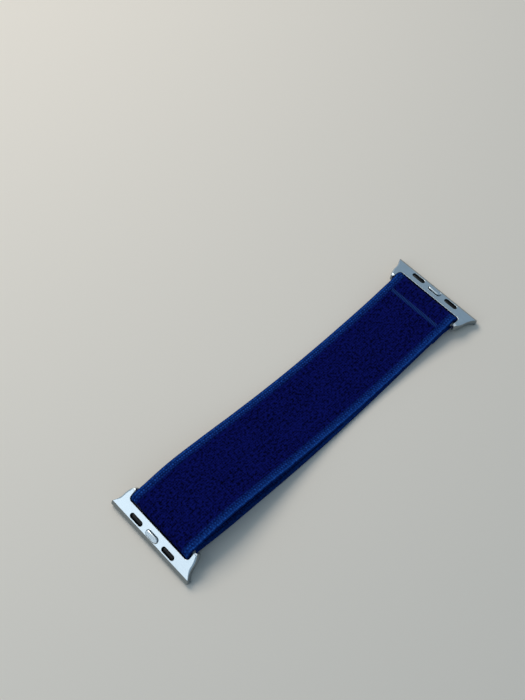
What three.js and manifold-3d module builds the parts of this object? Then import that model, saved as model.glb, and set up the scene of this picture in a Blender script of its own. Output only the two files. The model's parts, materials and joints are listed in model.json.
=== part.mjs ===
// Stretch-fabric watch band: one elastic strip, doubled and sewn into a flat loop between two steel end links.
// Millimetres. +X runs along the band from the plain end to the sewn end, +Y across it, +Z up from the table.
// The band lies skin side up, with the noses of both links on the table.
import * as THREE from 'three';
import { mergeVertices } from 'three/addons/utils/BufferGeometryUtils.js';
import Module from 'manifold-3d';

const wasm = await Module();
wasm.setup();

// Strap. The arch lifts the top layer by each rise, at that share of the way between the two bars
const strapWidth = 20.8;
const strapThickness = 0.85;
const layerGap = 0.06;
const layerSlack = 0.2;
const pinDistance = 93.3;
const archRises = [
  [0.1, 5.25],
  [0.22, 4.05],
  [0.36, 1.97],
  [0.52, 0.38],
  [0.68, 0.06],
  [0.76, 0.3],
  [0.84, 0.7],
  [0.9, 1.24],
];
const flatFrom = 0.3;
const plainDrops = [
  [4, 0.63],
  [8, 0.27],
  [12.5, 0.05],
  [17, 0],
];
const plainTurn = { from: 256, to: 100, steps: 8 };
const seamTurn = { from: 92, to: -93, steps: 9 };
const strapStep = 0.5;
const coarseStep = 5;
const fineReach = 9;
const straightWithin = 0.004;

// Seam that holds both ends of the strip
const seamToPin = 3.9;
const seamTilt = THREE.MathUtils.degToRad(5);
const seamTailRise = 0.3;
const sewnHalfLength = 0.8;
const stripStartPastSeam = 1.6;
const tailLength = 3.6;
const tailDrop = 0.62;
const seamMargin = 2.5;
const stitchHoles = 12;
const stitchHalfWidth = 0.3;
const threadRadius = 0.12;
const threadClearance = 0.1;
const threadBend = 0.2;
const bendShare = 0.3;
const threadSides = 5;

// Sprung bar
const barrelRadius = 0.75;
const barrelWall = 0.2;
const barrelInset = 1.2;
const lipLength = 0.3;
const loopClearance = 0.15;
const collarClearance = 0.05;
const collarLength = 0.6;
const collarInset = 0.3;
const shaftRadius = 0.38;
const shaftClearance = 0.07;
const flangeRadius = 0.7;
const flangeLength = 0.2;
const flangeToEar = 0.45;
const pivotRadius = 0.4;
const pivotDepth = 0.8;
const pivotClearance = 0.1;
const pivotEndGap = 0.05;
const barSpringWire = 0.09;
const barSpringClearance = 0.07;
const barSpringTurns = 12;
const coilSteps = 8;
const coilSides = 4;
const barrelSides = 20;
const tipSides = 16;

// End link: distances along the link are counted from the bar's axis towards the nose
const tongueWidth = 28;
const linkThickness = 2.4;
const earClearance = 0.4;
const edgeClearance = 0.4;
const earWall = 1.8;
const earReach = 1.05;
const earCorner = 0.65;
const earEndFlat = 0.3;
const innerCorner = 1;
const backWall = 1.2;
const pocketDepth = 2.1;
const noseWall = 1.35;
const noseBevel = { length: 1.4, drop: 1 };
const noseFlat = 0.7;
const toeInset = 0.8;
const tipCut = 0.45;
const flare = { middle: [0.7, 0.39], start: [0.35, 0.07] };
const contourSteps = 16;
const roundSteps = 6;
const plainTilt = THREE.MathUtils.degToRad(31.8);
const seamEndTilt = THREE.MathUtils.degToRad(12.7);

// Pads, catch and cover
const skinWall = 0.65;
const coverThickness = 0.3;
const coverGap = 0.05;
const coverMargin = 0.5;
const coverSideMargin = 0.45;
const padSpacing = 11.7;
const slotLength = 4.2;
const padSlotWidth = 1.4;
const catchSlotWidth = 1.75;
const slotClearance = 0.06;
const padRecess = 0.1;
const rimOverlap = 0.4;
const pocketClearance = 0.1;
const catchFlange = 0.3;
const catchTravel = 0.5;
const catchSunk = 0.05;
const catchBevel = 0.18;
const catchSpringRadius = 0.55;
const catchSpringWire = 0.075;
const catchSpringTurns = 3;
const catchSpringSpacing = 2.6;
const seatGap = 0.04;

// Worked out from the sizes above
const halfStrap = strapWidth / 2;
const layerPitch = strapThickness + layerGap;
const loopRadius = barrelRadius + loopClearance + strapThickness / 2;
const halfLink = linkThickness / 2;
const earGap = halfStrap + earClearance;
const innerEdge = loopRadius + strapThickness / 2 + edgeClearance;
const pocketBack = innerEdge + backWall;
const pocketFront = pocketBack + pocketDepth;
const pocketMiddle = (pocketBack + pocketFront) / 2;
const nose = pocketFront + noseWall;
const toe = nose - toeInset;
const faceFront = nose - noseBevel.length;
const pocketTop = halfLink - skinWall;
const coverTop = coverThickness - halfLink;
const pocketFloor = coverTop + coverGap;
const tipReach = tongueWidth / 2;
const waist = earGap + earWall;
const barrelEnd = halfStrap - barrelInset;

const finishes = {
  steel: { color: 0xc4ccd2, metalness: 1, roughness: 0.35 },
  barSteel: { color: 0x9aa1a8, metalness: 1, roughness: 0.4 },
  rubber: { color: 0x15161a, metalness: 0, roughness: 0.8 },
  elastic: { color: 0x0a1850, metalness: 0, roughness: 0.9 },
  thread: { color: 0x2b4a80, metalness: 0, roughness: 0.85 },
};

function material(finish) {
  return new THREE.MeshStandardMaterial(finishes[finish]);
}

function named(name, geometry, finish) {
  const mesh = new THREE.Mesh(geometry, material(finish));
  mesh.name = name;
  return mesh;
}

// Booleans

function toSolid(geometry) {
  const bare = geometry.clone();
  bare.deleteAttribute('normal');
  bare.deleteAttribute('uv');
  const merged = mergeVertices(bare, 1e-5);
  return new wasm.Manifold(new wasm.Mesh({
    numProp: 3,
    vertProperties: new Float32Array(merged.attributes.position.array),
    triVerts: new Uint32Array(merged.index.array),
  }));
}

function toGeometry(solid) {
  const mesh = solid.getMesh();
  const geometry = new THREE.BufferGeometry();
  geometry.setAttribute('position', new THREE.BufferAttribute(mesh.vertProperties, 3));
  geometry.setIndex(new THREE.BufferAttribute(mesh.triVerts, 1));
  return geometry;
}

// Basic shapes in a link's own axes: x towards the nose, y across, z towards the skin

function plate(shape, low, high) {
  const geometry = new THREE.ExtrudeGeometry(shape, { depth: high - low, bevelEnabled: false });
  return geometry.translate(0, 0, low);
}

function box(x, y, z) {
  const geometry = new THREE.BoxGeometry(x[1] - x[0], y[1] - y[0], z[1] - z[0]);
  return geometry.translate((x[0] + x[1]) / 2, (y[0] + y[1]) / 2, (z[0] + z[1]) / 2);
}

// Slot shape with round ends, long across the link
function slotShape(centre, length, width) {
  const shape = new THREE.Shape();
  const radius = width / 2;
  const straight = length / 2 - radius;
  for (const side of [1, -1]) {
    for (let i = 0; i <= roundSteps; i++) {
      const angle = (i / roundSteps) * Math.PI + (side < 0 ? Math.PI : 0);
      const x = pocketMiddle + radius * Math.cos(angle);
      const y = centre + side * straight + radius * Math.sin(angle);
      if (side > 0 && i === 0) shape.moveTo(x, y);
      else shape.lineTo(x, y);
    }
  }
  return shape;
}

// A coil of round wire from `start` to `end` along +Z
function coil(radius, wire, start, end, turns) {
  const points = [];
  const low = start + wire;
  const high = end - wire;
  const steps = turns * coilSteps;
  for (let i = 0; i <= steps; i++) {
    const angle = (i / coilSteps) * 2 * Math.PI;
    const z = low + ((high - low) * i) / steps;
    points.push(new THREE.Vector3(radius * Math.cos(angle), radius * Math.sin(angle), z));
  }
  return wireAlong(points, wire, coilSides);
}

// A curve that is sampled at its own points, so that short bends keep their shape
class PointCurve extends THREE.CatmullRomCurve3 {
  getUtoTmapping(u) {
    return u;
  }
}

function wireAlong(points, radius, sides) {
  const section = new THREE.Shape();
  for (let i = 0; i < sides; i++) {
    const angle = (i / sides) * 2 * Math.PI;
    const x = radius * Math.cos(angle);
    const y = radius * Math.sin(angle);
    if (i === 0) section.moveTo(x, y);
    else section.lineTo(x, y);
  }
  const extrudePath = new PointCurve(points);
  return new THREE.ExtrudeGeometry(section, { steps: points.length - 1, extrudePath });
}

// End link

// Nose, toe and round ear ends, seen from the side
function linkProfile() {
  const shape = new THREE.Shape();
  shape.moveTo(0, -halfLink);
  shape.lineTo(toe, -halfLink);
  shape.lineTo(nose, halfLink - noseBevel.drop - noseFlat);
  shape.lineTo(nose, halfLink - noseBevel.drop);
  shape.lineTo(faceFront, halfLink);
  shape.lineTo(0, halfLink);
  for (let i = 1; i < 2 * roundSteps; i++) {
    const angle = Math.PI / 2 + (i / (2 * roundSteps)) * Math.PI;
    shape.lineTo(halfLink * Math.cos(angle), halfLink * Math.sin(angle));
  }
  return shape;
}

// One side of the link seen from above: tip, waist, ear and inner corner
function sideContour() {
  const run = faceFront - innerEdge;
  const flared = ([forward, out]) => {
    return new THREE.Vector2(innerEdge + forward * run, waist + out * (tipReach - waist));
  };
  const contour = [
    new THREE.Vector2(faceFront, tipReach),
    flared(flare.middle),
    flared(flare.start),
    new THREE.Vector2(innerEdge / 2, waist),
    new THREE.Vector2(-earReach / 2, waist - earCorner),
    new THREE.Vector2(-earReach, earGap + earCorner),
  ];
  const points = new THREE.SplineCurve(contour).getPoints(contourSteps);
  points.push(new THREE.Vector2(earEndFlat - earReach, earGap));
  for (let i = 0; i <= roundSteps; i++) {
    const angle = Math.PI + (i / roundSteps) * (Math.PI / 2);
    const x = innerEdge - innerCorner * (1 + Math.sin(angle));
    const y = earGap - innerCorner * (1 + Math.cos(angle));
    points.push(new THREE.Vector2(x, y));
  }
  return points;
}

function linkOutline() {
  const shape = new THREE.Shape();
  const side = sideContour();
  shape.moveTo(nose, -tipReach + tipCut);
  shape.lineTo(nose, tipReach - tipCut);
  shape.lineTo(nose - tipCut, tipReach);
  side.forEach((p) => shape.lineTo(p.x, p.y));
  side.slice().reverse().forEach((p) => shape.lineTo(p.x, -p.y));
  shape.lineTo(nose - tipCut, -tipReach);
  return shape;
}

function earBore(side) {
  const length = pivotDepth + pivotEndGap;
  const radius = pivotRadius + pivotClearance;
  const bore = new THREE.CylinderGeometry(radius, radius, 2 * length, tipSides);
  return bore.translate(0, side * earGap, 0);
}

function pocketHalfLength() {
  return slotLength / 2 + rimOverlap + pocketClearance;
}

function coverHalfLength() {
  return padSpacing / 2 + pocketHalfLength() + coverMargin;
}

function pocket(centre) {
  const half = pocketHalfLength();
  return box([pocketBack, pocketFront], [centre - half, centre + half], [-halfLink, pocketTop]);
}

function linkBody() {
  const outline = toSolid(plate(linkOutline(), -linkThickness, linkThickness));
  const profileGeometry = plate(linkProfile(), 0, 2 * tongueWidth);
  profileGeometry.rotateX(Math.PI / 2).translate(0, tongueWidth, 0);
  let body = outline.intersect(toSolid(profileGeometry));
  const coverHalf = coverHalfLength() + coverGap;
  const recessBack = pocketBack - coverSideMargin - coverGap;
  const recessFront = pocketFront + coverGap;
  const recess = box([recessBack, recessFront], [-coverHalf, coverHalf], [-linkThickness, pocketFloor]);
  body = body.subtract(toSolid(recess));
  for (const centre of [-padSpacing / 2, 0, padSpacing / 2]) {
    const width = centre === 0 ? catchSlotWidth : padSlotWidth;
    const window = plate(slotShape(centre, slotLength, width), 0, linkThickness);
    body = body.subtract(toSolid(pocket(centre))).subtract(toSolid(window));
  }
  for (const side of [-1, 1]) body = body.subtract(toSolid(earBore(side)));
  return toGeometry(body);
}

function coverPlate() {
  const half = coverHalfLength();
  return box([pocketBack - coverSideMargin, pocketFront], [-half, half], [-halfLink, coverTop]);
}

// Block that a pad or the catch keeps under the skin wall
function flangeBlock(centre, low, high) {
  const half = slotLength / 2 + rimOverlap;
  const back = pocketBack + pocketClearance;
  const front = pocketFront - pocketClearance;
  return box([back, front], [centre - half, centre + half], [low, high]);
}

function pad(centre) {
  const top = halfLink - padRecess;
  const shape = slotShape(centre, slotLength - 2 * slotClearance, padSlotWidth - 2 * slotClearance);
  const block = flangeBlock(centre, pocketFloor + seatGap, pocketTop - seatGap);
  return toGeometry(toSolid(block).add(toSolid(plate(shape, 0, top))));
}

function springCatch() {
  const flangeTop = pocketTop - pocketClearance;
  const inset = 2 * (slotClearance + catchBevel);
  const shape = slotShape(0, slotLength - inset, catchSlotWidth - inset);
  const start = flangeTop - catchFlange / 2;
  const top = halfLink + catchTravel - catchSunk;
  const boss = new THREE.ExtrudeGeometry(shape, {
    depth: top - start - catchBevel,
    bevelThickness: catchBevel,
    bevelSize: catchBevel,
    bevelSegments: 2,
  });
  boss.translate(0, 0, start);
  const flange = toSolid(flangeBlock(0, flangeTop - catchFlange, flangeTop));
  const upper = toSolid(box([0, nose], [-waist, waist], [start + catchBevel / 2, top + 1]));
  return toGeometry(toSolid(boss).intersect(upper).add(flange));
}

function catchSpring(side) {
  const top = pocketTop - pocketClearance - catchFlange - seatGap;
  const spring = coil(catchSpringRadius, catchSpringWire, coverTop + seatGap, top, catchSpringTurns);
  return spring.translate(pocketMiddle, (side * catchSpringSpacing) / 2, 0);
}

// Sprung bar: turned pieces whose axis is Y

function turned(profile, segments) {
  return new THREE.LatheGeometry(profile.map(([r, y]) => new THREE.Vector2(r, y)), segments);
}

function barBarrel() {
  const inner = barrelRadius - barrelWall;
  const lip = shaftRadius + shaftClearance;
  const lipStart = barrelEnd - lipLength;
  return turned([
    [lip, -barrelEnd],
    [barrelRadius, -barrelEnd],
    [barrelRadius, barrelEnd],
    [lip, barrelEnd],
    [lip, lipStart],
    [inner, lipStart],
    [inner, -lipStart],
    [lip, -lipStart],
    [lip, -barrelEnd],
  ], barrelSides);
}

function collarStart() {
  return barrelEnd - lipLength - collarInset - collarLength;
}

function barTip(side) {
  const collarRadius = barrelRadius - barrelWall - collarClearance;
  const flangeEnd = earGap - flangeToEar;
  const pivotEnd = earGap + pivotDepth;
  const tip = turned([
    [0, collarStart()],
    [collarRadius, collarStart()],
    [collarRadius, collarStart() + collarLength],
    [shaftRadius, collarStart() + collarLength],
    [shaftRadius, flangeEnd - flangeLength],
    [flangeRadius, flangeEnd - flangeLength],
    [flangeRadius, flangeEnd],
    [pivotRadius, flangeEnd],
    [pivotRadius, pivotEnd - pivotRadius / 2],
    [pivotRadius / 2, pivotEnd],
    [0, pivotEnd],
  ], tipSides);
  return side > 0 ? tip : tip.rotateX(Math.PI);
}

function barSpring() {
  const radius = barrelRadius - barrelWall - barSpringClearance - barSpringWire;
  const half = collarStart() - seatGap;
  return coil(radius, barSpringWire, -half, half, barSpringTurns).rotateX(-Math.PI / 2);
}

// How far a link reaches from its pin axis: forwards along the band, and down to the table
function linkReach(tilt) {
  const points = linkProfile().getPoints();
  return {
    along: Math.max(...points.map((p) => p.x * Math.cos(tilt) + p.y * Math.sin(tilt))),
    down: Math.max(...points.map((p) => p.x * Math.sin(tilt) - p.y * Math.cos(tilt))),
  };
}

const plainReach = linkReach(plainTilt);
const seamReach = linkReach(seamEndTilt);
const middleShift = (plainReach.along - seamReach.along) / 2;
const plainPin = new THREE.Vector3(middleShift - pinDistance / 2, 0, plainReach.down);
const seamPin = new THREE.Vector3(middleShift + pinDistance / 2, 0, seamReach.down);

// Strap

const seamStack = new THREE.Vector2(seamPin.x - seamToPin, seamPin.z - loopRadius + seamTailRise);

// A point on the centre of a layer at the seam: layer 0 is the tail, 1 the strip's start, 2 the top layer
function seamPoint(along, layer) {
  const up = layer * layerPitch;
  const x = seamStack.x + along * Math.cos(seamTilt) - up * Math.sin(seamTilt);
  const z = seamStack.y + along * Math.sin(seamTilt) + up * Math.cos(seamTilt);
  return new THREE.Vector3(x, 0, z);
}

// Part of a turn round a pin, clockwise seen from the -Y side, from one angle to another in degrees
function turnRound(pin, { from, to, steps }) {
  const points = [];
  for (let i = 0; i <= steps; i++) {
    const angle = THREE.MathUtils.degToRad(from + ((to - from) * i) / steps);
    const x = pin.x + loopRadius * Math.cos(angle);
    points.push(new THREE.Vector3(x, 0, pin.z + loopRadius * Math.sin(angle)));
  }
  return points;
}

function topLayer() {
  const flat = strapThickness / 2 + layerPitch;
  return archRises.map(([share, rise]) => new THREE.Vector3(plainPin.x + share * pinDistance, 0, flat + rise));
}

// The lower layer follows the top one near the seam, and lies on the table elsewhere
function lowerLayer() {
  const flat = strapThickness / 2;
  const points = topLayer().filter((p) => p.x > 0).map((p) => {
    return new THREE.Vector3(p.x, 0, Math.max(flat, p.z - layerPitch - layerSlack));
  });
  const bottom = plainPin.z - loopRadius - flat;
  points.push(new THREE.Vector3(plainPin.x + flatFrom * pinDistance, 0, flat));
  for (const [along, share] of plainDrops) {
    points.push(new THREE.Vector3(plainPin.x + along, 0, flat + share * bottom));
  }
  return points.sort((a, b) => b.x - a.x);
}

function stripCentreline() {
  const points = [
    seamPoint(stripStartPastSeam, 1),
    seamPoint(sewnHalfLength, 1),
    seamPoint(-sewnHalfLength, 1),
    ...lowerLayer(),
    ...turnRound(plainPin, plainTurn),
    ...topLayer(),
    seamPoint(-sewnHalfLength, 2),
    seamPoint(sewnHalfLength, 2),
    ...turnRound(seamPin, seamTurn),
    seamPoint(sewnHalfLength, 0),
    seamPoint(-sewnHalfLength, 0),
    new THREE.Vector3(seamStack.x - tailLength, 0, seamStack.y - tailDrop),
  ];
  return new THREE.CatmullRomCurve3(points, false, 'centripetal');
}

// Points along the strip: close together near the bars, none where the needle goes through
function stripSamples() {
  const curve = stripCentreline();
  const length = curve.getLength();
  const count = Math.round(length / strapStep);
  const samples = [];
  for (let i = 0; i <= count; i++) {
    const point = curve.getPointAt(i / count);
    const tangent = curve.getTangentAt(i / count);
    const atPlainPin = point.distanceTo(plainPin) < 2 * loopRadius;
    const atSeamPin = point.distanceTo(seamPin) < fineReach;
    const sewn = Math.abs(point.x - seamStack.x) < sewnHalfLength;
    if (!sewn && (atPlainPin || atSeamPin || i % coarseStep === 0 || i === count)) {
      const z = Math.max(point.z, strapThickness / 2);
      samples.push({ x: point.x, z, normalX: -tangent.z, normalZ: tangent.x });
    }
  }
  return samples;
}

// Leaves out samples on a straight stretch
function bentSamples(samples) {
  const kept = [samples[0]];
  for (let i = 1; i < samples.length - 1; i++) {
    const before = kept[kept.length - 1];
    const here = samples[i];
    const after = samples[i + 1];
    const run = Math.hypot(after.x - before.x, after.z - before.z);
    const cross = (after.x - before.x) * (here.z - before.z) - (after.z - before.z) * (here.x - before.x);
    if (Math.abs(cross) / run > straightWithin) kept.push(here);
  }
  kept.push(samples[samples.length - 1]);
  return kept;
}

function strapShape() {
  const samples = bentSamples(stripSamples());
  const shape = new THREE.Shape();
  const half = strapThickness / 2;
  samples.forEach((s, i) => {
    const x = s.x + half * s.normalX;
    const z = s.z + half * s.normalZ;
    if (i === 0) shape.moveTo(x, z);
    else shape.lineTo(x, z);
  });
  samples.reverse().forEach((s) => shape.lineTo(s.x - half * s.normalX, s.z - half * s.normalZ));
  return shape;
}

// Where the needle went through, in the seam's own axes: x along the band, y across, z out of the top layer
function stitchPlaces() {
  const places = [];
  const span = strapWidth - 2 * seamMargin;
  for (let i = 0; i < stitchHoles; i++) {
    const x = i % 2 === 0 ? stitchHalfWidth : -stitchHalfWidth;
    places.push(new THREE.Vector2(x, -span / 2 + (span * i) / (stitchHoles - 1)));
  }
  return places;
}

function atSeam(geometry) {
  const top = seamPoint(0, 2);
  const rise = strapThickness / 2;
  geometry.translate(0, 0, rise).rotateY(-seamTilt);
  return geometry.translate(top.x, 0, top.z);
}

function elasticStrap() {
  const strip = plate(strapShape(), 0, strapWidth);
  strip.rotateX(Math.PI / 2).translate(0, halfStrap, 0);
  let strap = toSolid(strip);
  const depth = 3 * layerPitch + strapThickness;
  const radius = (threadRadius + threadClearance / 2) * Math.SQRT2;
  for (const place of stitchPlaces()) {
    const hole = new THREE.CylinderGeometry(radius, radius, depth, 4);
    hole.rotateX(Math.PI / 2).translate(place.x, place.y, strapThickness / 2 - depth / 2);
    strap = strap.subtract(toSolid(atSeam(hole)));
  }
  return toGeometry(strap);
}

// One thread that runs over the top between two holes, down, under to the next hole, and up again
function seamThread() {
  const over = threadRadius + threadClearance;
  const under = -(2 * layerPitch + strapThickness) - over;
  const places = stitchPlaces();
  const points = [];
  places.forEach((place, i) => {
    const before = places[Math.max(i - 1, 0)];
    const after = places[Math.min(i + 1, stitchHoles - 1)];
    const goesDown = i % 2 === 1;
    const legs = goesDown ? [over, under] : [under, over];
    [before, after].forEach((other, j) => {
      const z = legs[j];
      const inwards = Math.sign(legs[1 - j] - z) * threadBend;
      const run = other.clone().sub(place).setLength(threadBend);
      if (other.equals(place)) run.set(0, (i === 0 ? -1 : 1) * threadBend);
      const bend = [
        new THREE.Vector3(place.x + run.x, place.y + run.y, z),
        new THREE.Vector3(place.x + run.x * bendShare, place.y + run.y * bendShare, z + inwards * bendShare),
        new THREE.Vector3(place.x, place.y, z + inwards),
      ];
      points.push(...(j === 0 ? bend : bend.reverse()));
    });
  });
  return atSeam(wireAlong(points, threadRadius, threadSides));
}

// Assembly

function endLink(prefix, pin, tilt, turn) {
  const link = new THREE.Group();
  link.add(named(`${prefix}_link_body`, linkBody(), 'steel'));
  link.add(named(`${prefix}_cover_plate`, coverPlate(), 'steel'));
  link.add(named(`${prefix}_catch`, springCatch(), 'steel'));
  link.add(named(`${prefix}_bar_barrel`, barBarrel(), 'barSteel'));
  link.add(named(`${prefix}_bar_spring`, barSpring(), 'barSteel'));
  for (const [word, side] of [['left', 1], ['right', -1]]) {
    link.add(named(`${prefix}_pad_${word}`, pad((side * padSpacing) / 2), 'rubber'));
    link.add(named(`${prefix}_catch_spring_${word}`, catchSpring(side), 'barSteel'));
    link.add(named(`${prefix}_bar_tip_${word}`, barTip(side), 'barSteel'));
  }
  link.rotation.order = 'ZYX';
  link.rotation.set(0, tilt, turn);
  link.position.copy(pin);
  return link;
}

const band = new THREE.Group();
band.add(named('elastic_strap', elasticStrap(), 'elastic'));
band.add(named('seam_thread', seamThread(), 'thread'));
band.add(endLink('plain_end', plainPin, plainTilt, Math.PI));
band.add(endLink('seam_end', seamPin, seamEndTilt, 0));

export default band;
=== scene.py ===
import bpy
import bmesh
import json
import math
from mathutils import Matrix, Vector


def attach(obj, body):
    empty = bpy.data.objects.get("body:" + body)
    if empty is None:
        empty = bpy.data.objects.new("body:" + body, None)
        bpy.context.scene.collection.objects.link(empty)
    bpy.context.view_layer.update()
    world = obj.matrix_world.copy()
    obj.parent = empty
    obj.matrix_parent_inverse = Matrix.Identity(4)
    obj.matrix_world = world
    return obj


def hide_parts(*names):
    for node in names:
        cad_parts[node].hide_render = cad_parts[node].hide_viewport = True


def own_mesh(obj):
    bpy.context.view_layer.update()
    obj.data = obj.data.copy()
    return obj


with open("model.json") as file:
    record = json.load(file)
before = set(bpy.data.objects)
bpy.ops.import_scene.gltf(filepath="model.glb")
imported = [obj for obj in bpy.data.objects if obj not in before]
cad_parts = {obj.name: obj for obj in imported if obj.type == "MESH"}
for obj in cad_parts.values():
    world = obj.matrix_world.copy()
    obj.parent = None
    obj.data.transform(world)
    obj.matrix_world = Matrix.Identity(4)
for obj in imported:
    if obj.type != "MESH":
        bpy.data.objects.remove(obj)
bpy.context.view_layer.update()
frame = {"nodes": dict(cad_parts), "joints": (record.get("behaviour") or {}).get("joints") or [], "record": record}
scene = bpy.context.scene
joints = {joint["name"]: joint for joint in frame["joints"]}
mounts = {mount["name"]: mount for mount in frame["record"]["mounts"]}
mm = 0.001
turn = 2 * math.pi
quarterTurn = Matrix.Rotation(math.pi / 2, 3, "X")
pieceNames = {"plain_end": "plainEnd", "seam_end": "seamEnd"}
print("frame loaded:", len(frame["nodes"]), "nodes")


# Materials

def linear(hexColour):
    values = [int(hexColour[i:i + 2], 16) / 255 for i in (0, 2, 4)]
    return [c / 12.92 if c <= 0.04045 else ((c + 0.055) / 1.055) ** 2.4 for c in values] + [1.0]


def addNode(tree, kind, links=None, **settings):
    node = tree.nodes.new(kind)
    for name, value in settings.items():
        setattr(node, name, value)
    for name, value in (links or {}).items():
        if isinstance(value, bpy.types.NodeSocket):
            tree.links.new(value, node.inputs[name])
        else:
            node.inputs[name].default_value = value
    return node


def newMaterial(name, **values):
    material = bpy.data.materials.new(name)
    material.use_nodes = True
    tree = material.node_tree
    shader = tree.nodes["Principled BSDF"]
    for socket, value in values.items():
        shader.inputs[socket.replace("_", " ")].default_value = value
    return material, tree, shader


elasticLook = {
    "fieldDark": "00011c",
    "fieldLight": "0b1259",
    "selvedgeDark": "030f46",
    "selvedgeLight": "225cb6",
    "roughness": 0.85,
    "sheen": 0.012,
    "sheenTint": "2f55b0",
    "rowPitch": 1.1,
    "walePitch": 1.2,
    "fibreScale": 1.4,
    "patchScale": 0.15,
    "speckContrast": (5.0, -2.3),
    "loopShare": 0.35,
    "patchShare": 0.5,
    "selvedgeContrast": (4.0, -1.15),
    "bumpDepth": 0.14 * mm,
}


# Woven elastic of dyed polyester over rubber warps: matt, with a fine twill of small loops and a little sheen
def wovenElastic():
    look = elasticLook
    material, tree, shader = newMaterial(
        "wovenElastic", Roughness=look["roughness"], Sheen_Weight=look["sheen"], Sheen_Roughness=0.4,
        Sheen_Tint=linear(look["sheenTint"]), Specular_IOR_Level=0.02)
    place = addNode(tree, "ShaderNodeUVMap", uv_map="weave").outputs[0]
    split = addNode(tree, "ShaderNodeSeparateXYZ", {0: place})

    def value(operation, *inputs):
        return addNode(tree, "ShaderNodeMath", dict(enumerate(inputs)), operation=operation).outputs[0]

    # Small loops in slanting rows; their true 0.45 mm pitch is drawn coarser so that it shows
    rows = value("MULTIPLY", split.outputs[0], turn / look["rowPitch"])
    wales = value("MULTIPLY", split.outputs[1], turn / look["walePitch"])
    rising = value("SINE", value("ADD", rows, wales))
    falling = value("SINE", value("SUBTRACT", rows, wales))
    loops = value("MULTIPLY_ADD", value("MULTIPLY", rising, falling), 0.5, 0.5)
    fibre = addNode(tree, "ShaderNodeTexNoise", {
        "Vector": place, "Scale": look["fibreScale"], "Detail": 3.0, "Roughness": 0.75}).outputs[0]
    patch = addNode(tree, "ShaderNodeTexNoise", {
        "Vector": place, "Scale": look["patchScale"], "Detail": 2.0}).outputs[0]
    speck = value("MULTIPLY_ADD", fibre, *look["speckContrast"])
    tone = value("MULTIPLY_ADD", loops, look["loopShare"], speck)
    tone = value("MULTIPLY_ADD", patch, look["patchShare"], tone)
    field = addNode(tree, "ShaderNodeMix", {
        0: tone, 6: linear(look["fieldDark"]), 7: linear(look["fieldLight"])}, data_type="RGBA").outputs[2]
    lift = addNode(tree, "ShaderNodeAttribute", attribute_name="lift").outputs["Fac"]
    edge = addNode(tree, "ShaderNodeAttribute", attribute_name="selvedge").outputs["Fac"]
    contrast = value("MULTIPLY_ADD", fibre, *look["selvedgeContrast"])
    # Painted highlight and shade: the selvedge colour is lighter on the crests of its raised loops and ribs and
    # darker between them, while the selvedge yarn itself is a lighter blue than the field
    bright = value("MULTIPLY", value("POWER", lift, 1.3), contrast)
    bright = value("MULTIPLY", bright, value("MULTIPLY_ADD", edge, 0.6, 0.4))
    band = addNode(tree, "ShaderNodeMix", {
        0: bright, 6: linear(look["selvedgeDark"]), 7: linear(look["selvedgeLight"])},
        data_type="RGBA").outputs[2]
    colour = addNode(tree, "ShaderNodeMix", {0: edge, 6: field, 7: band}, data_type="RGBA").outputs[2]
    tree.links.new(colour, shader.inputs["Base Color"])
    height = value("MULTIPLY_ADD", fibre, 0.9, loops)
    bump = addNode(tree, "ShaderNodeBump", {
        "Height": height, "Strength": 0.8, "Distance": look["bumpDepth"]})
    tree.links.new(bump.outputs[0], shader.inputs["Normal"])
    return material


# Spun polyester thread: matt with a soft twist
def sewingThread():
    material, tree, shader = newMaterial(
        "sewingThread", Roughness=0.9, Sheen_Weight=0.1, Specular_IOR_Level=0.05)
    place = addNode(tree, "ShaderNodeTexCoord").outputs["Object"]
    twist = addNode(tree, "ShaderNodeTexWave", {
        "Vector": place, "Scale": 2200.0, "Distortion": 2.0, "Detail": 2.0}, bands_direction="DIAGONAL")
    colour = addNode(tree, "ShaderNodeMix", {0: twist.outputs[1], 6: linear("061a50"), 7: linear("1a4284")},
                     data_type="RGBA")
    tree.links.new(colour.outputs[2], shader.inputs["Base Color"])
    bump = addNode(tree, "ShaderNodeBump", {
        "Height": twist.outputs[1], "Strength": 0.5, "Distance": 0.04 * mm})
    tree.links.new(bump.outputs[0], shader.inputs["Normal"])
    return material


# Colour of the painted shade on the nose and side faces of the links
paintedShadeColour = "8b9498"


# Stainless steel with fine lines: `grain` gives how finely they repeat along each axis, per metre.
# Where the face attribute of painted shade is 1, the colour is darkened: painted shade standing in for the
# shadowed floor that the nose and sides of a link reflect
def steel(name, shade, dark, roughness, grain, depth):
    material, tree, shader = newMaterial(name, Metallic=1.0)
    place = addNode(tree, "ShaderNodeTexCoord").outputs["Object"]
    stretched = addNode(tree, "ShaderNodeMapping", {"Vector": place, "Scale": grain}).outputs[0]
    lines = addNode(tree, "ShaderNodeTexNoise", {
        "Vector": stretched, "Scale": 1.0, "Detail": 6.0, "Roughness": 0.65}).outputs[0]
    clouds = addNode(tree, "ShaderNodeTexNoise", {"Vector": place, "Scale": 260.0, "Detail": 3.0}).outputs[0]
    paintedShade = addNode(tree, "ShaderNodeAttribute", attribute_name="paintedShade").outputs["Fac"]
    brushed = addNode(tree, "ShaderNodeMix", {
        0: lines, 6: linear(dark), 7: linear(shade)}, data_type="RGBA").outputs[2]
    colour = addNode(tree, "ShaderNodeMix", {
        0: paintedShade, 6: brushed, 7: linear(paintedShadeColour)}, data_type="RGBA")
    tree.links.new(colour.outputs[2], shader.inputs["Base Color"])
    low = addNode(tree, "ShaderNodeMapRange", {
        "Value": lines, "To Min": roughness - 0.08, "To Max": roughness + 0.1}).outputs[0]
    worn = addNode(tree, "ShaderNodeMath", {0: clouds, 1: 0.05, 2: low}, operation="MULTIPLY_ADD")
    tree.links.new(worn.outputs[0], shader.inputs["Roughness"])
    bump = addNode(tree, "ShaderNodeBump", {"Height": lines, "Strength": 0.35, "Distance": depth})
    tree.links.new(bump.outputs[0], shader.inputs["Normal"])
    return material


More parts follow.
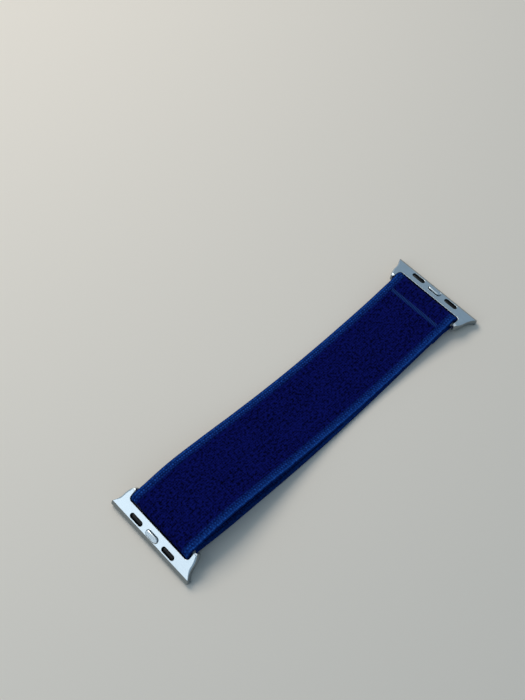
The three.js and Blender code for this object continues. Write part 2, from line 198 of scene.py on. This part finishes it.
# Moulded rubber: matt black with a fine eggshell from the mould
def mouldedRubber():
    material, tree, shader = newMaterial("mouldedRubber", Roughness=0.38, Specular_IOR_Level=0.25)
    place = addNode(tree, "ShaderNodeTexCoord").outputs["Object"]
    skin = addNode(tree, "ShaderNodeTexNoise", {"Vector": place, "Scale": 9000.0, "Detail": 3.0})
    colour = addNode(tree, "ShaderNodeMix", {0: skin.outputs[0], 6: linear("020203"), 7: linear("0a0c0f")},
                     data_type="RGBA")
    tree.links.new(colour.outputs[2], shader.inputs["Base Color"])
    bump = addNode(tree, "ShaderNodeBump", {
        "Height": skin.outputs[0], "Strength": 0.4, "Distance": 0.02 * mm})
    tree.links.new(bump.outputs[0], shader.inputs["Normal"])
    return material


# Plain pale matt board
def paleFloor():
    return newMaterial("paleFloor", Roughness=0.7, Base_Color=linear("d9d2c6"))[0]


elastic = wovenElastic()
thread = sewingThread()
# The links are brushed along their length, the bars are turned, and the springs are drawn wire
brushedSteel = steel("brushedSteel", "e3ebee", "bcc8ce", 0.3, (9000, 500, 9000), 0.015 * mm)
turnedSteel = steel("turnedSteel", "c9cdd0", "9fa4a8", 0.3, (900, 14000, 900), 0.01 * mm)
springWire = steel("springWire", "b5b9bd", "8a8e93", 0.35, (3000, 3000, 3000), 0.01 * mm)
rubber = mouldedRubber()
print("materials made")


# Shapes in millimetres. With `flatArea`, faces of that area and more and level ones are shaded flat
def finishPiece(name, bm, place, material, body, nodes, sharpAngle=32, flatArea=0.0):
    bmesh.ops.recalc_face_normals(bm, faces=bm.faces)
    smooth = [not flatArea or (face.calc_area() < flatArea and abs(face.normal.z) < 0.999)
              for face in bm.faces]
    mesh = bpy.data.meshes.new(name)
    bm.to_mesh(mesh)
    bm.free()
    mesh.transform(place)
    mesh.set_sharp_from_angle(angle=math.radians(sharpAngle))
    # Set after the sharp edges, which make every face smooth again
    mesh.polygons.foreach_set("use_smooth", smooth)
    mesh.materials.append(material)
    piece = bpy.data.objects.new(name, mesh)
    scene.collection.objects.link(piece)
    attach(piece, body)
    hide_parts(*nodes)
    return piece


def toObject(bm):
    bmesh.ops.recalc_face_normals(bm, faces=bm.faces)
    mesh = bpy.data.meshes.new("scratch")
    bm.to_mesh(mesh)
    bm.free()
    made = bpy.data.objects.new("scratch", mesh)
    scene.collection.objects.link(made)
    return made


def fromObject(made, *used):
    mesh = bpy.data.meshes.new_from_object(made.evaluated_get(bpy.context.evaluated_depsgraph_get()))
    result = bmesh.new()
    result.from_mesh(mesh)
    bpy.data.meshes.remove(mesh)
    for scratch in (made, *used):
        bpy.data.objects.remove(scratch)
    bmesh.ops.remove_doubles(result, verts=result.verts, dist=0.0005)
    return result


def combine(bm, other, operation):
    base, cutter = toObject(bm), toObject(other)
    modifier = base.modifiers.new("combine", "BOOLEAN")
    modifier.operation = operation
    modifier.solver = "EXACT"
    modifier.object = cutter
    return fromObject(base, cutter)


# Centripetal Catmull-Rom through the points, with `steps` pieces in each span
def smoothPath(points, steps):
    points = [Vector(p) for p in points]
    ends = [2 * points[0] - points[1]] + points + [2 * points[-1] - points[-2]]
    path = []
    for before, start, end, after in zip(ends, ends[1:], ends[2:], ends[3:]):
        first, middle, last = [max((b - a).length ** 0.5, 1e-6)
                               for a, b in ((before, start), (start, end), (end, after))]
        leave = ((start - before) / first - (end - before) / (first + middle)
                 + (end - start) / middle) * middle
        arrive = ((end - start) / middle - (after - start) / (middle + last)
                  + (after - end) / last) * middle
        for i in range(steps):
            t = i / steps
            path.append((2 * t ** 3 - 3 * t ** 2 + 1) * start + (t ** 3 - 2 * t ** 2 + t) * leave
                        + (3 * t ** 2 - 2 * t ** 3) * end + (t ** 3 - t ** 2) * arrive)
    return path + [points[-1]]


def prism(points, low, high):
    bm = bmesh.new()
    face = bm.faces.new([bm.verts.new((x, y, low)) for x, y in points])
    top = bmesh.ops.extrude_face_region(bm, geom=[face])
    bmesh.ops.translate(bm, verts=[v for v in top["geom"] if isinstance(v, bmesh.types.BMVert)],
                        vec=(0, 0, high - low))
    return bm


def box(low, high, bevel=0.0):
    bm = bmesh.new()
    bmesh.ops.create_cube(bm, size=1)
    size = Vector(high) - Vector(low)
    bmesh.ops.scale(bm, verts=bm.verts, vec=size)
    bmesh.ops.translate(bm, verts=bm.verts, vec=(Vector(high) + Vector(low)) / 2)
    if bevel:
        bmesh.ops.bevel(bm, geom=bm.edges[:], offset=bevel, segments=2, affect="EDGES", profile=0.5,
                        material=-1, clamp_overlap=True)
    return bm


slotSteps = 28


# Rings of a slot with round ends, stacked at each height and grown outwards by each amount
def slotStack(middle, length, width, levels):
    bm = bmesh.new()
    loops = []
    for height, grow in levels:
        ring = bmesh.ops.create_circle(bm, segments=slotSteps, radius=width / 2 + grow)["verts"]
        halfStep = Matrix.Rotation(math.pi / slotSteps, 3, "Z")
        bmesh.ops.rotate(bm, verts=ring, cent=(0, 0, 0), matrix=halfStep)
        for vert in ring:
            vert.co.y += math.copysign((length - width) / 2, vert.co.y)
        bmesh.ops.translate(bm, verts=ring, vec=(middle[0], middle[1], height))
        loops.append([edge for edge in bm.edges if edge.verts[0] in ring and edge.verts[1] in ring])
    for lower, upper in zip(loops, loops[1:]):
        bmesh.ops.bridge_loops(bm, edges=lower + upper)
    for end in (loops[0], loops[-1]):
        bmesh.ops.contextual_create(bm, geom=end)
    return bm


# A turned shape about the Y axis, from (radius, y) points
def turned(profile, steps=40):
    bm = bmesh.new()
    verts = [bm.verts.new((radius, y, 0)) for radius, y in profile]
    edges = [bm.edges.new((a, b)) for a, b in zip(verts, verts[1:])]
    bmesh.ops.spin(bm, geom=verts + edges, cent=(0, 0, 0), axis=(0, 1, 0), angle=turn, steps=steps,
                   use_merge=True)
    bmesh.ops.remove_doubles(bm, verts=bm.verts, dist=0.0005)
    return bm


# A round wire wound about the Y axis, with closed ends
def coil(radius, wire, half, turns, steps=20):
    bm = bmesh.new()
    bmesh.ops.create_circle(bm, segments=10, radius=wire)
    bmesh.ops.translate(bm, verts=bm.verts, vec=(radius, -half, 0))
    bmesh.ops.contextual_create(bm, geom=bm.edges[:])
    bmesh.ops.spin(bm, geom=bm.verts[:] + bm.edges[:] + bm.faces[:], cent=(0, 0, 0), axis=(0, 1, 0),
                   dvec=(0, 2 * half / (steps * turns), 0), angle=turn * turns, steps=steps * turns,
                   use_merge=False)
    return bm


# End links, in their own axes: x from the bar to the nose, y across, z towards the skin

def pinOf(end):
    return Vector(joints[end + "_hinge"]["pos_m"])


def linkPlace(end):
    up = Vector(mounts[end + "_skin_face"]["axis"]).normalized()
    outwards = Vector((math.copysign(1, pinOf(end).x), 0, 0))
    forward = (outwards - up * outwards.dot(up)).normalized()
    axes = Matrix((forward, up.cross(forward), up)).transposed()
    return Matrix.Translation(pinOf(end)) @ axes.to_4x4() @ Matrix.Scale(mm, 4)


linkSizes = {
    "tipReach": 14.0,
    "tipCut": 0.3,
    "thickness": 2.4,
    "nose": 6.8,
    "toe": 6.0,
    "faceFront": 5.4,
    "noseTop": 0.2,
    "noseBottom": -0.5,
    "flare": [(4.4, 13.32), (3.2, 12.9)],
    "waist": (1.2, 12.55),
    "shoulder": (-0.3, 11.95),
    "earGap": 10.8,
    "earReach": 0.85,
    "innerEdge": 2.15,
    "innerCorner": 1.0,
    "earRound": 0.45,
    "earEndRound": 0.35,
    "underRound": 1.0,
    "tipRound": 0.1,
    "roundFrom": 5.2,
    "roundOver": 2.4,
    "innerRound": 0.12,
    "noseRound": 0.25,
    "pocketBack": 3.35,
    "pocketFront": 5.45,
    "pocketTop": 0.55,
    "pocketFloor": -0.85,
    "pocketHalf": 2.6,
    "recessBack": 2.85,
    "recessFront": 5.5,
    "recessHalf": 9.0,
    "slotAt": 4.4,
    "slotSpacing": 5.85,
    "slotLength": 4.2,
    "padSlot": 1.4,
    "catchSlot": 1.8,
    "slotRim": 0.07,
    "boreRadius": 0.5,
    "boreDepth": 0.85,
}


# Half of the outline from above: tip, waist, ear and inner corner
def linkSide():
    size = linkSizes
    flat = [
        (size["faceFront"] + 0.5, size["tipReach"] + 0.12),
        (size["faceFront"], size["tipReach"] - 0.12),
        *size["flare"],
        size["waist"],
        size["shoulder"],
        (-size["earReach"], size["earGap"] + 0.62),
        (0.15 - size["earReach"], size["earGap"] + 0.16),
        (0.45 - size["earReach"], size["earGap"]),
    ]
    contour = smoothPath([(x, y, 0) for x, y in flat], 5)
    corner = []
    cornerSteps = 8
    centre = Vector((size["innerEdge"] - size["innerCorner"], size["earGap"] - size["innerCorner"], 0))
    for i in range(cornerSteps + 1):
        angle = math.pi / 2 - math.pi / 2 * i / cornerSteps
        corner.append(centre + size["innerCorner"] * Vector((math.cos(angle), math.sin(angle), 0)))
    return [(p.x, p.y) for p in contour + corner]


# How round the rim is along the outline, on the skin side and underneath, where the sides are cut back
def rimRound(place):
    size = linkSizes
    if abs(place.y) < size["earGap"] + 0.05:
        return Vector((size["innerRound"], size["innerRound"]))
    share = min(1.0, max(0.0, (size["roundFrom"] - place.x) / size["roundOver"]))
    top = size["tipRound"] + (size["earRound"] - size["tipRound"]) * share * share * (3 - 2 * share)
    limit = size["earEndRound"] + 0.4 * max(0.0, place.x + 0.3)
    return Vector((min(top, limit), min(size["underRound"], limit)))


foldPasses = 40
leastEdge = 0.15
shrink = 0.85


# A plate on the outline, whose rim is rounded at each corner by that corner's own two radii
def roundedPlate(outline, half, steps=5):
    bm = bmesh.new()
    corner = bm.verts.layers.int.new("corner")
    places = [Vector((x, y, 0)) for x, y in outline]
    inwards, radii = [], []
    for before, place, after in zip([places[-1]] + places, places, places[1:] + places[:1]):
        first = Vector((0, 0, 1)).cross(place - before).normalized()
        second = Vector((0, 0, 1)).cross(after - place).normalized()
        both = (first + second).normalized()
        inwards.append(both / max(0.5, both.dot(first)))
        radii.append(rimRound(place))
    # A radius shrinks where the rim would fold over itself
    for _ in range(foldPasses):
        inner = [place + way * max(pair) for place, way, pair in zip(places, inwards, radii)]
        for i, place in enumerate(places):
            edge = place - places[i - 1]
            if (inner[i] - inner[i - 1]).dot(edge) < leastEdge * edge.length_squared:
                radii[i] *= shrink
                radii[i - 1] *= shrink

    def shapeRing(verts, angle, side):
        for vert in verts:
            i = vert[corner]
            radius = radii[i][0 if side > 0 else 1]
            vert.co = places[i] + inwards[i] * radius * (1 - math.cos(angle))
            vert.co.z = side * (half - radius * (1 - math.sin(angle)))

    ring = [bm.verts.new(place) for place in places]
    for i, vert in enumerate(ring):
        vert[corner] = i
    top = bm.faces.new(ring)
    shapeRing(ring, math.pi / 2, -1)
    turns = [(k, -1) for k in range(steps - 1, -1, -1)] + [(k, 1) for k in range(steps + 1)]
    for k, side in turns:
        moved = bmesh.ops.extrude_face_region(bm, geom=[top])["geom"]
        if len(bm.verts) > 2 * len(ring):
            bmesh.ops.delete(bm, geom=[top], context="FACES_ONLY")
        top = next(part for part in moved if isinstance(part, bmesh.types.BMFace))
        fresh = [part for part in moved if isinstance(part, bmesh.types.BMVert)]
        shapeRing(fresh, k / steps * math.pi / 2, side)
    return bm


def linkBlank():
    size = linkSizes
    half = size["thickness"] / 2
    tip = [(size["nose"] + 0.4, size["tipReach"] - size["tipCut"]), (size["nose"] - 0.1, size["tipReach"])]
    side = tip + linkSide()
    bm = roundedPlate(side + [(x, -y) for x, y in reversed(side)], half)
    profile = [(0, half), (size["faceFront"], half), (size["nose"], size["noseTop"]),
               (size["nose"], size["noseBottom"]), (size["toe"], -half), (0, -half)]
    for i in range(1, 18):
        angle = -math.pi / 2 - math.pi * i / 18
        profile.append((half * math.cos(angle), half * math.sin(angle)))
    nose = prism(profile, -20, 20)
    corners = [edge for edge in nose.edges if min(v.co.x for v in edge.verts) > size["faceFront"] + 0.1
               and abs(edge.verts[0].co.z - edge.verts[1].co.z) > 1]
    bmesh.ops.bevel(nose, geom=corners, offset=size["noseRound"], segments=4, affect="EDGES", profile=0.5,
                    material=-1, clamp_overlap=True)
    bmesh.ops.rotate(nose, verts=nose.verts, cent=(0, 0, 0), matrix=quarterTurn)
    return combine(bm, nose, "INTERSECT")


def linkBody():
    size = linkSizes
    half = size["thickness"] / 2
    bm = linkBlank()
    bm = combine(bm, box((size["recessBack"], -size["recessHalf"], -3),
                         (size["recessFront"], size["recessHalf"], size["pocketFloor"])), "DIFFERENCE")
    for side in (-1, 0, 1):
        middle = side * size["slotSpacing"]
        width = size["padSlot"] if side else size["catchSlot"]
        pocket = box((size["pocketBack"], middle - size["pocketHalf"], -1.5),
                     (size["pocketFront"], middle + size["pocketHalf"], size["pocketTop"]))
        bm = combine(bm, pocket, "DIFFERENCE")
        rim = size["slotRim"]
        levels = [(0, 0), (half - rim, 0), (half - rim * 0.3, rim * 0.3), (half, rim), (half + 1, rim + 0.6)]
        slot = slotStack((size["slotAt"], middle), size["slotLength"], width, levels)
        bm = combine(bm, slot, "DIFFERENCE")
    for side in (-1, 1):
        bore = bmesh.new()
        bmesh.ops.create_cone(bore, cap_ends=True, segments=28, radius1=size["boreRadius"],
                              radius2=size["boreRadius"], depth=2 * size["boreDepth"])
        bmesh.ops.rotate(bore, verts=bore.verts, cent=(0, 0, 0), matrix=quarterTurn)
        bmesh.ops.translate(bore, verts=bore.verts, vec=(0, side * size["earGap"], 0))
        bm = combine(bm, bore, "DIFFERENCE")
    return bm


padSizes = {"length": 4.08, "width": 1.28, "levels": [
    (-0.8, 0.38), (0.5, 0.38), (0.5, 0.0), (0.64, -0.02), (0.78, -0.1),
    (0.9, -0.2), (1.0, -0.33), (1.06, -0.46), (1.1, -0.6)]}
catchSizes = {"length": 4.02, "width": 1.44, "forward": 0.06, "slope": 0.16, "slopeFrom": 1.4, "levels": [
    (0.15, 0.37), (0.45, 0.37), (0.45, 0.0), (1.6, 0.0), (1.75, -0.15)]}
coverSizes = {"low": (2.9, -8.95, -1.2), "high": (5.45, 8.95, -0.9), "bevel": 0.04}
barSizes = {
    "barrel": [(0.45, -9.15), (0.5, -9.2), (0.7, -9.2), (0.75, -9.15), (0.75, 9.15), (0.7, 9.2), (0.5, 9.2),
               (0.45, 9.15), (0.45, 8.9), (0.55, 8.9), (0.55, -8.9), (0.45, -8.9), (0.45, -9.15)],
    "tip": [(0, 8.0), (0.47, 8.0), (0.5, 8.03), (0.5, 8.57), (0.47, 8.6), (0.38, 8.6), (0.38, 10.15),
            (0.66, 10.15), (0.7, 10.19), (0.7, 10.31), (0.66, 10.35), (0.4, 10.35), (0.4, 11.4),
            (0.36, 11.5), (0.2, 11.6), (0, 11.6)],
    "spring": {"radius": 0.39, "wire": 0.09, "half": 7.9, "turns": 12},
}
catchSpring = {"radius": 0.55, "wire": 0.075, "middle": -0.375, "half": 0.405, "turns": 3, "spacing": 1.3}


# Gives a spring a mesh of its own, which is not shortened here
def squashSpring(spring):
    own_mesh(spring)


def makeLink(end):
    place = linkPlace(end)
    name = pieceNames[end]
    body = end + "_link"
    size = linkSizes
    metal = linkBody()
    bmesh.ops.recalc_face_normals(metal, faces=metal.faces)
    # Painted shade: faces on the nose and the steep sides get a darker colour, standing in for the shadowed floor
    # they reflect
    paintedShade = metal.faces.layers.float.new("paintedShade")
    for face in metal.faces:
        onNose = face.calc_center_median().x > size["faceFront"] and abs(face.normal.z) < 0.99
        face[paintedShade] = 1.0 if onNose or abs(face.normal.z) < 0.5 else 0.0
    finishPiece(name + "LinkBody", metal, place, brushedSteel, body, [end + "_link_body"],
                flatArea=1.5)
    cover = box(coverSizes["low"], coverSizes["high"], coverSizes["bevel"])
    finishPiece(name + "CoverPlate", cover, place, brushedSteel, body, [end + "_cover_plate"],
                flatArea=1.5)
    catch = slotStack((size["slotAt"] + catchSizes["forward"], 0), catchSizes["length"],
                      catchSizes["width"], catchSizes["levels"])
    # Its top slopes down towards the nose, so that it rides in under the watch case
    for vert in catch.verts:
        if vert.co.z > catchSizes["slopeFrom"]:
            vert.co.z -= catchSizes["slope"] * (vert.co.x - size["slotAt"] + catchSizes["width"] / 2)
    finishPiece(name + "Catch", catch, place, brushedSteel, end + "_catch", [end + "_catch"],
                flatArea=1.0)
    for word, side in (("left", 1), ("right", -1)):
        pad = slotStack((size["slotAt"], side * size["slotSpacing"]), padSizes["length"], padSizes["width"],
                        padSizes["levels"])
        finishPiece(name + "Pad" + word.title(), pad, place, rubber, body, [f"{end}_pad_{word}"])
        spring = coil(catchSpring["radius"], catchSpring["wire"], catchSpring["half"], catchSpring["turns"])
        bmesh.ops.rotate(spring, verts=spring.verts, cent=(0, 0, 0), matrix=quarterTurn)
        bmesh.ops.translate(spring, verts=spring.verts,
                            vec=(size["slotAt"], side * catchSpring["spacing"], catchSpring["middle"]))
        spring = finishPiece(name + "CatchSpring" + word.title(), spring, place, springWire, body,
                             [f"{end}_catch_spring_{word}"])
        squashSpring(spring)
        tip = turned([(radius, side * y) for radius, y in barSizes["tip"]])
        finishPiece(name + "BarTip" + word.title(), tip, place, turnedSteel, f"{end}_bar_tip_{word}",
                    [f"{end}_bar_tip_{word}"])
        # The bar's one spring is drawn as two halves, because each tip presses its own end of it
        sizes = barSizes["spring"]
        spring = coil(sizes["radius"], sizes["wire"], sizes["half"] / 2, sizes["turns"] // 2)
        bmesh.ops.translate(spring, verts=spring.verts, vec=(0, side * sizes["half"] / 2, 0))
        spring = finishPiece(name + "BarSpring" + word.title(), spring, place, springWire, body,
                             [end + "_bar_spring"])
        squashSpring(spring)
    finishPiece(name + "BarBarrel", turned(barSizes["barrel"]), place, turnedSteel, body,
                [end + "_bar_barrel"])
    print(name, "link made")


for end in pieceNames:
    makeLink(end)


# Strap: one woven strip, laid out flat and then bent along its path

strapSizes = {
    "width": 20.8,
    "thickness": 0.85,
    "layerGap": 0.06,
    "layerSlack": 0.2,
    "loopRadius": 1.325,
    "rises": [(0.1, 5.25), (0.22, 4.05), (0.36, 1.97), (0.52, 0.38), (0.68, 0.06), (0.76, 0.3), (0.84, 0.7),
              (0.9, 1.24)],
    "drops": [(4, 0.63), (8, 0.27), (12.5, 0.05), (17, 0)],
    "flatFrom": 0.3,
    "plainTurn": (256, 100, 8),
    "seamTurn": (92, -93, 9),
    "seamToPin": 3.9,
    "seamTilt": 5,
    "seamTailRise": 0.3,
    "sewnHalf": 0.8,
    "startPastSeam": 1.6,
    "tailLength": 3.6,
    "tailDrop": 0.62,
    "seamMargin": 2.5,
    "seamReach": 3,
    "slip": -0.75,
    "slipStart": 3,
    "slipEnds": 14,
}
weave = {
    "selvedge": 2.4,
    "loopPitch": 0.72,
    "ribPitch": 0.6,
    "stepsPerLoop": 4,
    "baseHalf": 0.36,
    "edgeRound": 0.24,
    "loopBulk": 0.3,
    "loopBulkReach": 1.6,
    "rows": ((1.28, 0.0), (1.93, 0.5)),
    "rowHalf": 0.34,
    "rowRise": 0.085,
    "ribAt": 0.5,
    "ribHalf": 0.48,
    "ribRise": 0.075,
    "ribWave": 0.02,
    "seamDent": 0.08,
    "seamDentHalf": 0.7,
}


def stripPath():
    size = strapSizes
    plainPin, seamPin = pinOf("plain_end") / mm, pinOf("seam_end") / mm
    span = seamPin.x - plainPin.x
    pitch = size["thickness"] + size["layerGap"]
    flat = size["thickness"] / 2
    tilt = math.radians(size["seamTilt"])
    stack = Vector((seamPin.x - size["seamToPin"], 0, seamPin.z - size["loopRadius"] + size["seamTailRise"]))
    along, up = Vector((math.cos(tilt), 0, math.sin(tilt))), Vector((-math.sin(tilt), 0, math.cos(tilt)))

    def atSeam(forward, layer):
        return stack + forward * along + layer * pitch * up

    def arc(pin, start, stop, steps):
        angles = [math.radians(start + (stop - start) * i / steps) for i in range(steps + 1)]
        return [pin + size["loopRadius"] * Vector((math.cos(a), 0, math.sin(a))) for a in angles]

    top = [Vector((plainPin.x + share * span, 0, flat + pitch + rise)) for share, rise in size["rises"]]
    lower = [Vector((p.x, 0, max(flat, p.z - pitch - size["layerSlack"]))) for p in top if p.x > 0]
    lower.append(Vector((plainPin.x + size["flatFrom"] * span, 0, flat)))
    bottom = plainPin.z - size["loopRadius"] - flat
    lower += [Vector((plainPin.x + x, 0, flat + share * bottom)) for x, share in size["drops"]]
    lower.sort(key=lambda p: -p.x)
    half = size["sewnHalf"]
    points = [atSeam(size["startPastSeam"], 1), atSeam(half, 1), atSeam(-half, 1)] + lower
    points += arc(plainPin, *size["plainTurn"]) + top + [atSeam(-half, 2), atSeam(half, 2)]
    points += arc(seamPin, *size["seamTurn"]) + [atSeam(half, 0), atSeam(-half, 0)]
    points.append(Vector((stack.x - size["tailLength"], 0, stack.z - size["tailDrop"])))
    path = smoothPath(points, 24)
    for point in path:
        point.z = max(point.z, flat)
    seam = {"middle": atSeam(0, 2), "under": atSeam(0, 0), "along": along, "up": up}
    return path, seam


def evenly(path, spacing):
    lengths = [0.0]
    for a, b in zip(path, path[1:]):
        lengths.append(lengths[-1] + (b - a).length)
    count = int(lengths[-1] / spacing)
    samples, k = [], 0
    for i in range(count + 1):
        goal = lengths[-1] * i / count
        while k < len(path) - 2 and lengths[k + 1] < goal:
            k += 1
        share = (goal - lengths[k]) / max(lengths[k + 1] - lengths[k], 1e-9)
        ahead = (path[min(k + 2, len(path) - 1)] - path[max(k - 1, 0)]).normalized()
        samples.append((path[k].lerp(path[k + 1], share), Vector((-ahead.z, 0, ahead.x)), goal))
    return samples, lengths[-1]


# How far a face of the strip stands from its middle at a point, and how much of a raised loop is there; the second
# lightens the selvedge colour as painted highlight on the loop crests
def faceHeight(along, across):
    inwards = strapSizes["width"] / 2 - abs(across)
    side = 0.5 if across > 0 else 0.0
    height, lift = weave["baseHalf"], 0.25
    if inwards < weave["selvedge"]:
        for centre, offset in weave["rows"]:
            spread = (inwards - centre) / weave["rowHalf"]
            if abs(spread) < 1:
                loop = 0.5 + 0.5 * math.cos(turn * (along / weave["loopPitch"] + offset + side))
                swell = (1 - spread * spread) * (0.35 + 0.65 * loop)
                height += weave["rowRise"] * swell
                lift = max(lift, 0.15 + 0.85 * (1 - spread * spread) * loop)
        spread = (inwards - weave["ribAt"]) / weave["ribHalf"]
        if abs(spread) < 1:
            rib = 0.5 + 0.5 * math.cos(turn * along / weave["ribPitch"])
            height += (weave["ribRise"] + weave["ribWave"] * rib) * math.sqrt(1 - spread * spread)
            lift = max(lift, (0.35 + 0.35 * rib) * (1 - spread * spread))
    if inwards < weave["edgeRound"]:
        turnIn = 1 - inwards / weave["edgeRound"]
        height *= math.sqrt(max(0.0, 1 - turnIn ** 2.2))
    return height, lift


def ringPlaces():
    half = strapSizes["width"] / 2
    fine = [0.0, 0.04, 0.12, 0.22, 0.34, 0.5, 0.68, 0.84, 0.98, 1.1, 1.22, 1.34, 1.46, 1.58, 1.7, 1.82,
            1.94, 2.06, 2.18, 2.3, 2.4, 2.6]
    coarse = [0.12, 0.34, 0.7, 1.0, 1.3, 1.6, 2.0, 2.4]
    field = [-6.6, -4.8, -3.0, -1.0, 1.0, 3.0, 4.8, 6.6]
    outer = [half - d for d in fine] + field[::-1] + [d - half for d in reversed(fine)]
    inner = [d - half for d in coarse] + [-5, 0, 5] + [half - d for d in reversed(coarse)]
    return [(y, 1) for y in outer] + [(y, -1) for y in inner] + [(outer[0], 1)]


def makeStrap():
    path, seam = stripPath()
    samples, length = evenly(path, weave["loopPitch"] / weave["stepsPerLoop"])
    places = ringPlaces()
    plainPin, seamPin = pinOf("plain_end") / mm, pinOf("seam_end") / mm
    bm = bmesh.new()
    weaveUv = bm.loops.layers.uv.new("weave")
    lifts = bm.verts.layers.float.new("lift")
    selvedges = bm.verts.layers.float.new("selvedge")
    bmesh.ops.create_grid(bm, x_segments=len(samples) - 1, y_segments=len(places) - 1, size=0.5)
    cells = {}
    for vert in bm.verts:
        column = round((vert.co.x + 0.5) * (len(samples) - 1))
        row = round((vert.co.y + 0.5) * (len(places) - 1))
        cells[vert] = (column, row)
    for face in bm.faces:
        for loop in face.loops:
            column, row = cells[loop.vert]
            loop[weaveUv].uv = (samples[column][2], places[row][0])
    for vert, (column, row) in cells.items():
        middle, outwards, along = samples[column]
        across, side = places[row]
        height, lift = faceHeight(along, across)
        sewn = (middle - seam["middle"]).dot(seam["along"])
        inField = abs(across) < strapSizes["width"] / 2 - weave["selvedge"]
        nearSeam = (middle - seam["middle"]).length < strapSizes["seamReach"] and inField
        if nearSeam and side > 0:
            height -= weave["seamDent"] * math.exp(-(sewn / weave["seamDentHalf"]) ** 2)
        # The strip is fuller where it bends round a bar
        if side > 0:
            away = min((middle - pinOf(end) / mm).length for end in pieceNames) - strapSizes["loopRadius"]
            height += weave["loopBulk"] * max(0.0, 1 - max(0.0, away) / weave["loopBulkReach"])
        # The lower layer lies a little to one side
        span = seamPin.x - plainPin.x - strapSizes["slipEnds"]
        share = min(1.0, max(0.0, (middle.x - plainPin.x - strapSizes["slipStart"]) / span))
        slip = strapSizes["slip"] * math.sin(math.pi * share) ** 2 * max(0.0, -outwards.z)
        vert.co = middle + outwards * height * side + Vector((0, across + slip, 0))
        vert[lifts] = lift
        inwards = strapSizes["width"] / 2 - abs(across)
        share = min(1.0, max(0.0, (weave["selvedge"] + 0.2 - inwards) / 1.9))
        vert[selvedges] = 0.12 * min(1.0, share * 8) + 0.88 * share
    bmesh.ops.remove_doubles(bm, verts=bm.verts, dist=0.0005)
    bmesh.ops.holes_fill(bm, edges=[e for e in bm.edges if e.is_boundary], sides=0)
    strap = finishPiece("elasticStrap", bm, Matrix.Scale(mm, 4), elastic, "strap", ["elastic_strap"],
                        80)
    print("strap made, strip length", round(length, 1), "mm, faces", len(strap.data.polygons))
    return seam


seam = makeStrap()

stitchSizes = {"pitch": 0.42, "halfWidth": 0.5, "radius": 0.13, "flatten": 0.3, "sunk": 0.02, "slant": 0.35}


# One row of arched stitches across a face of the strip
def stitchRow(bm, origin, along, up, count, reach):
    size = stitchSizes
    turnTo = Matrix((along, up.cross(along), up)).transposed()
    for i in range(count + 1):
        before = len(bm.verts)
        ring = bmesh.ops.create_circle(bm, segments=8, radius=size["radius"], cap_ends=True)["verts"]
        bmesh.ops.translate(bm, verts=ring, vec=(size["halfWidth"], 0, 0))
        faces = list({face for vert in ring for face in vert.link_faces})
        bmesh.ops.spin(bm, geom=faces, cent=(0, 0, 0), axis=(0, -1, 0), angle=math.pi, steps=7,
                       use_merge=False)
        bm.verts.ensure_lookup_table()
        fresh = bm.verts[before:]
        bmesh.ops.scale(bm, verts=fresh, vec=(1, 1, size["flatten"]))
        bmesh.ops.rotate(bm, verts=fresh, cent=(0, 0, 0), matrix=Matrix.Rotation(size["slant"], 3, "Z"))
        bmesh.ops.rotate(bm, verts=fresh, cent=(0, 0, 0), matrix=turnTo)
        across = Vector((0, -reach + 2 * reach * i / count, 0))
        bmesh.ops.translate(bm, verts=fresh, vec=origin + across - up * size["sunk"])


# A close row of stitches on the top layer, and its other side under the tail
def makeSeam():
    reach = strapSizes["width"] / 2 - strapSizes["seamMargin"]
    count = int(2 * reach / stitchSizes["pitch"])
    bm = bmesh.new()
    for origin, up in ((seam["middle"], seam["up"]), (seam["under"], -seam["up"])):
        start = origin + up * (weave["baseHalf"] - weave["seamDent"])
        stitchRow(bm, start, seam["along"], up, count, reach)
    finishPiece("seamThread", bm, Matrix.Scale(mm, 4), thread, "strap", ["seam_thread"], 60)
    print("seam sewn with", 2 * (count + 1), "stitches")


makeSeam()


# Stage, camera and light

view = {
    "camera": (-84.43, -73.4, 228.07),
    "lookAt": (4.53, 20.28, -0.1),
    "lens": 49.94,
    "floorSize": 1600,
    "floorGap": 0.02,
    "world": "8fa6ba",
    "worldStrength": 0.85,
}
lights = [
    {"name": "windowBack", "at": (70, 350, 400), "aim": (0, 0, 0), "size": (320, 260),
     "power": 1.75, "colour": "fff6ec"},
    {"name": "panelLeft", "at": (-340, 145, 300), "aim": (-20, 0, 0), "size": (250, 430),
     "power": 0.41, "colour": "f6fbff"},
]


def makeStage():
    bm = bmesh.new()
    bmesh.ops.create_grid(bm, x_segments=1, y_segments=1, size=view["floorSize"] / 2 * mm)
    bmesh.ops.translate(bm, verts=bm.verts, vec=(0, 0, -view["floorGap"] * mm))
    mesh = bpy.data.meshes.new("floor")
    bm.to_mesh(mesh)
    bm.free()
    mesh.materials.append(paleFloor())
    floor = bpy.data.objects.new("floor", mesh)
    scene.collection.objects.link(floor)
    camera = bpy.data.objects.new("camera", bpy.data.cameras.new("camera"))
    camera.location = Vector(view["camera"]) * mm
    gaze = Vector(view["lookAt"]) - Vector(view["camera"])
    camera.rotation_euler = gaze.to_track_quat("-Z", "Y").to_euler()
    camera.data.lens = view["lens"]
    camera.data.clip_start = 0.01
    scene.collection.objects.link(camera)
    scene.camera = camera
    world = bpy.data.worlds.new("studio")
    world.use_nodes = True
    background = world.node_tree.nodes["Background"]
    background.inputs["Color"].default_value = linear(view["world"])
    background.inputs["Strength"].default_value = view["worldStrength"]
    scene.world = world
    for light in lights:
        data = bpy.data.lights.new(light["name"], "AREA")
        data.shape = "RECTANGLE"
        data.size, data.size_y = light["size"][0] * mm, light["size"][1] * mm
        data.energy = light["power"]
        data.color = linear(light["colour"])[:3]
        lamp = bpy.data.objects.new(light["name"], data)
        lamp.location = Vector(light["at"]) * mm
        lamp.rotation_euler = (Vector(light["aim"]) - Vector(light["at"])).to_track_quat("-Z", "Y").to_euler()
        scene.collection.objects.link(lamp)
    scene.view_settings.view_transform = "Standard"
    print("stage set")


makeStage()
